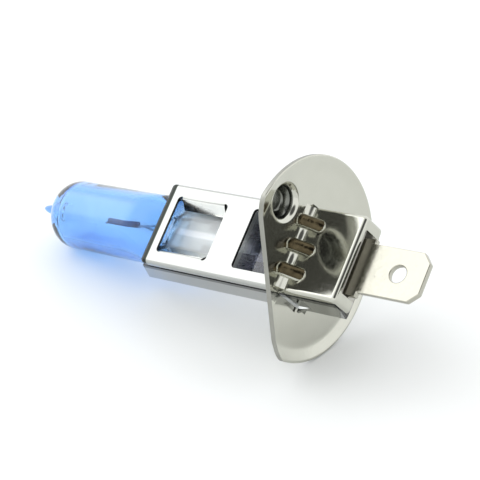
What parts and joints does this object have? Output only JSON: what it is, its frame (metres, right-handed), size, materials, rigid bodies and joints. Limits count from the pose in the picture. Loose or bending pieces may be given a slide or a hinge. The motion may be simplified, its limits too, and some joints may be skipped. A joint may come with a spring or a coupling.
{
  "type": "headlight bulb",
  "caption": "Halogen headlight bulb: glass tube with filament, folded sheet holder, round flange with a flat edge, and a blade terminal.",
  "frame": {"origin": "centre of the flange's front face, on the lamp axis, where the bulb seats in its reflector", "axes": "+X along the lamp axis towards the glass tip, +Z towards the side with the windows and the hood"},
  "size_m": [0.0629, 0.0251, 0.0251],
  "materials": {
    "shell_steel": "bright nickel plate",
    "flange_steel": "satin nickel plate",
    "blade_plated": "nickel plated, satin",
    "ceramic": "matt",
    "blue_glass": "clear with a blue coating",
    "tungsten": "dark",
    "molybdenum": "satin"
  },
  "bodies": {
    "root": {"glass_envelope": "blue_glass", "filament_coil": "tungsten", "filament_leg_long": "molybdenum", "filament_leg_short": "molybdenum", "foil_live": "molybdenum", "foil_earth": "molybdenum", "outer_lead_live": "molybdenum", "outer_lead_earth": "molybdenum", "weld_live": "shell_steel", "weld_earth": "shell_steel", "upper_shell": "shell_steel", "lower_shell": "shell_steel", "flange": "flange_steel", "insulator_upper": "ceramic", "insulator_lower": "ceramic", "blade_terminal": "blade_plated"}
  },
  "joints": []
}
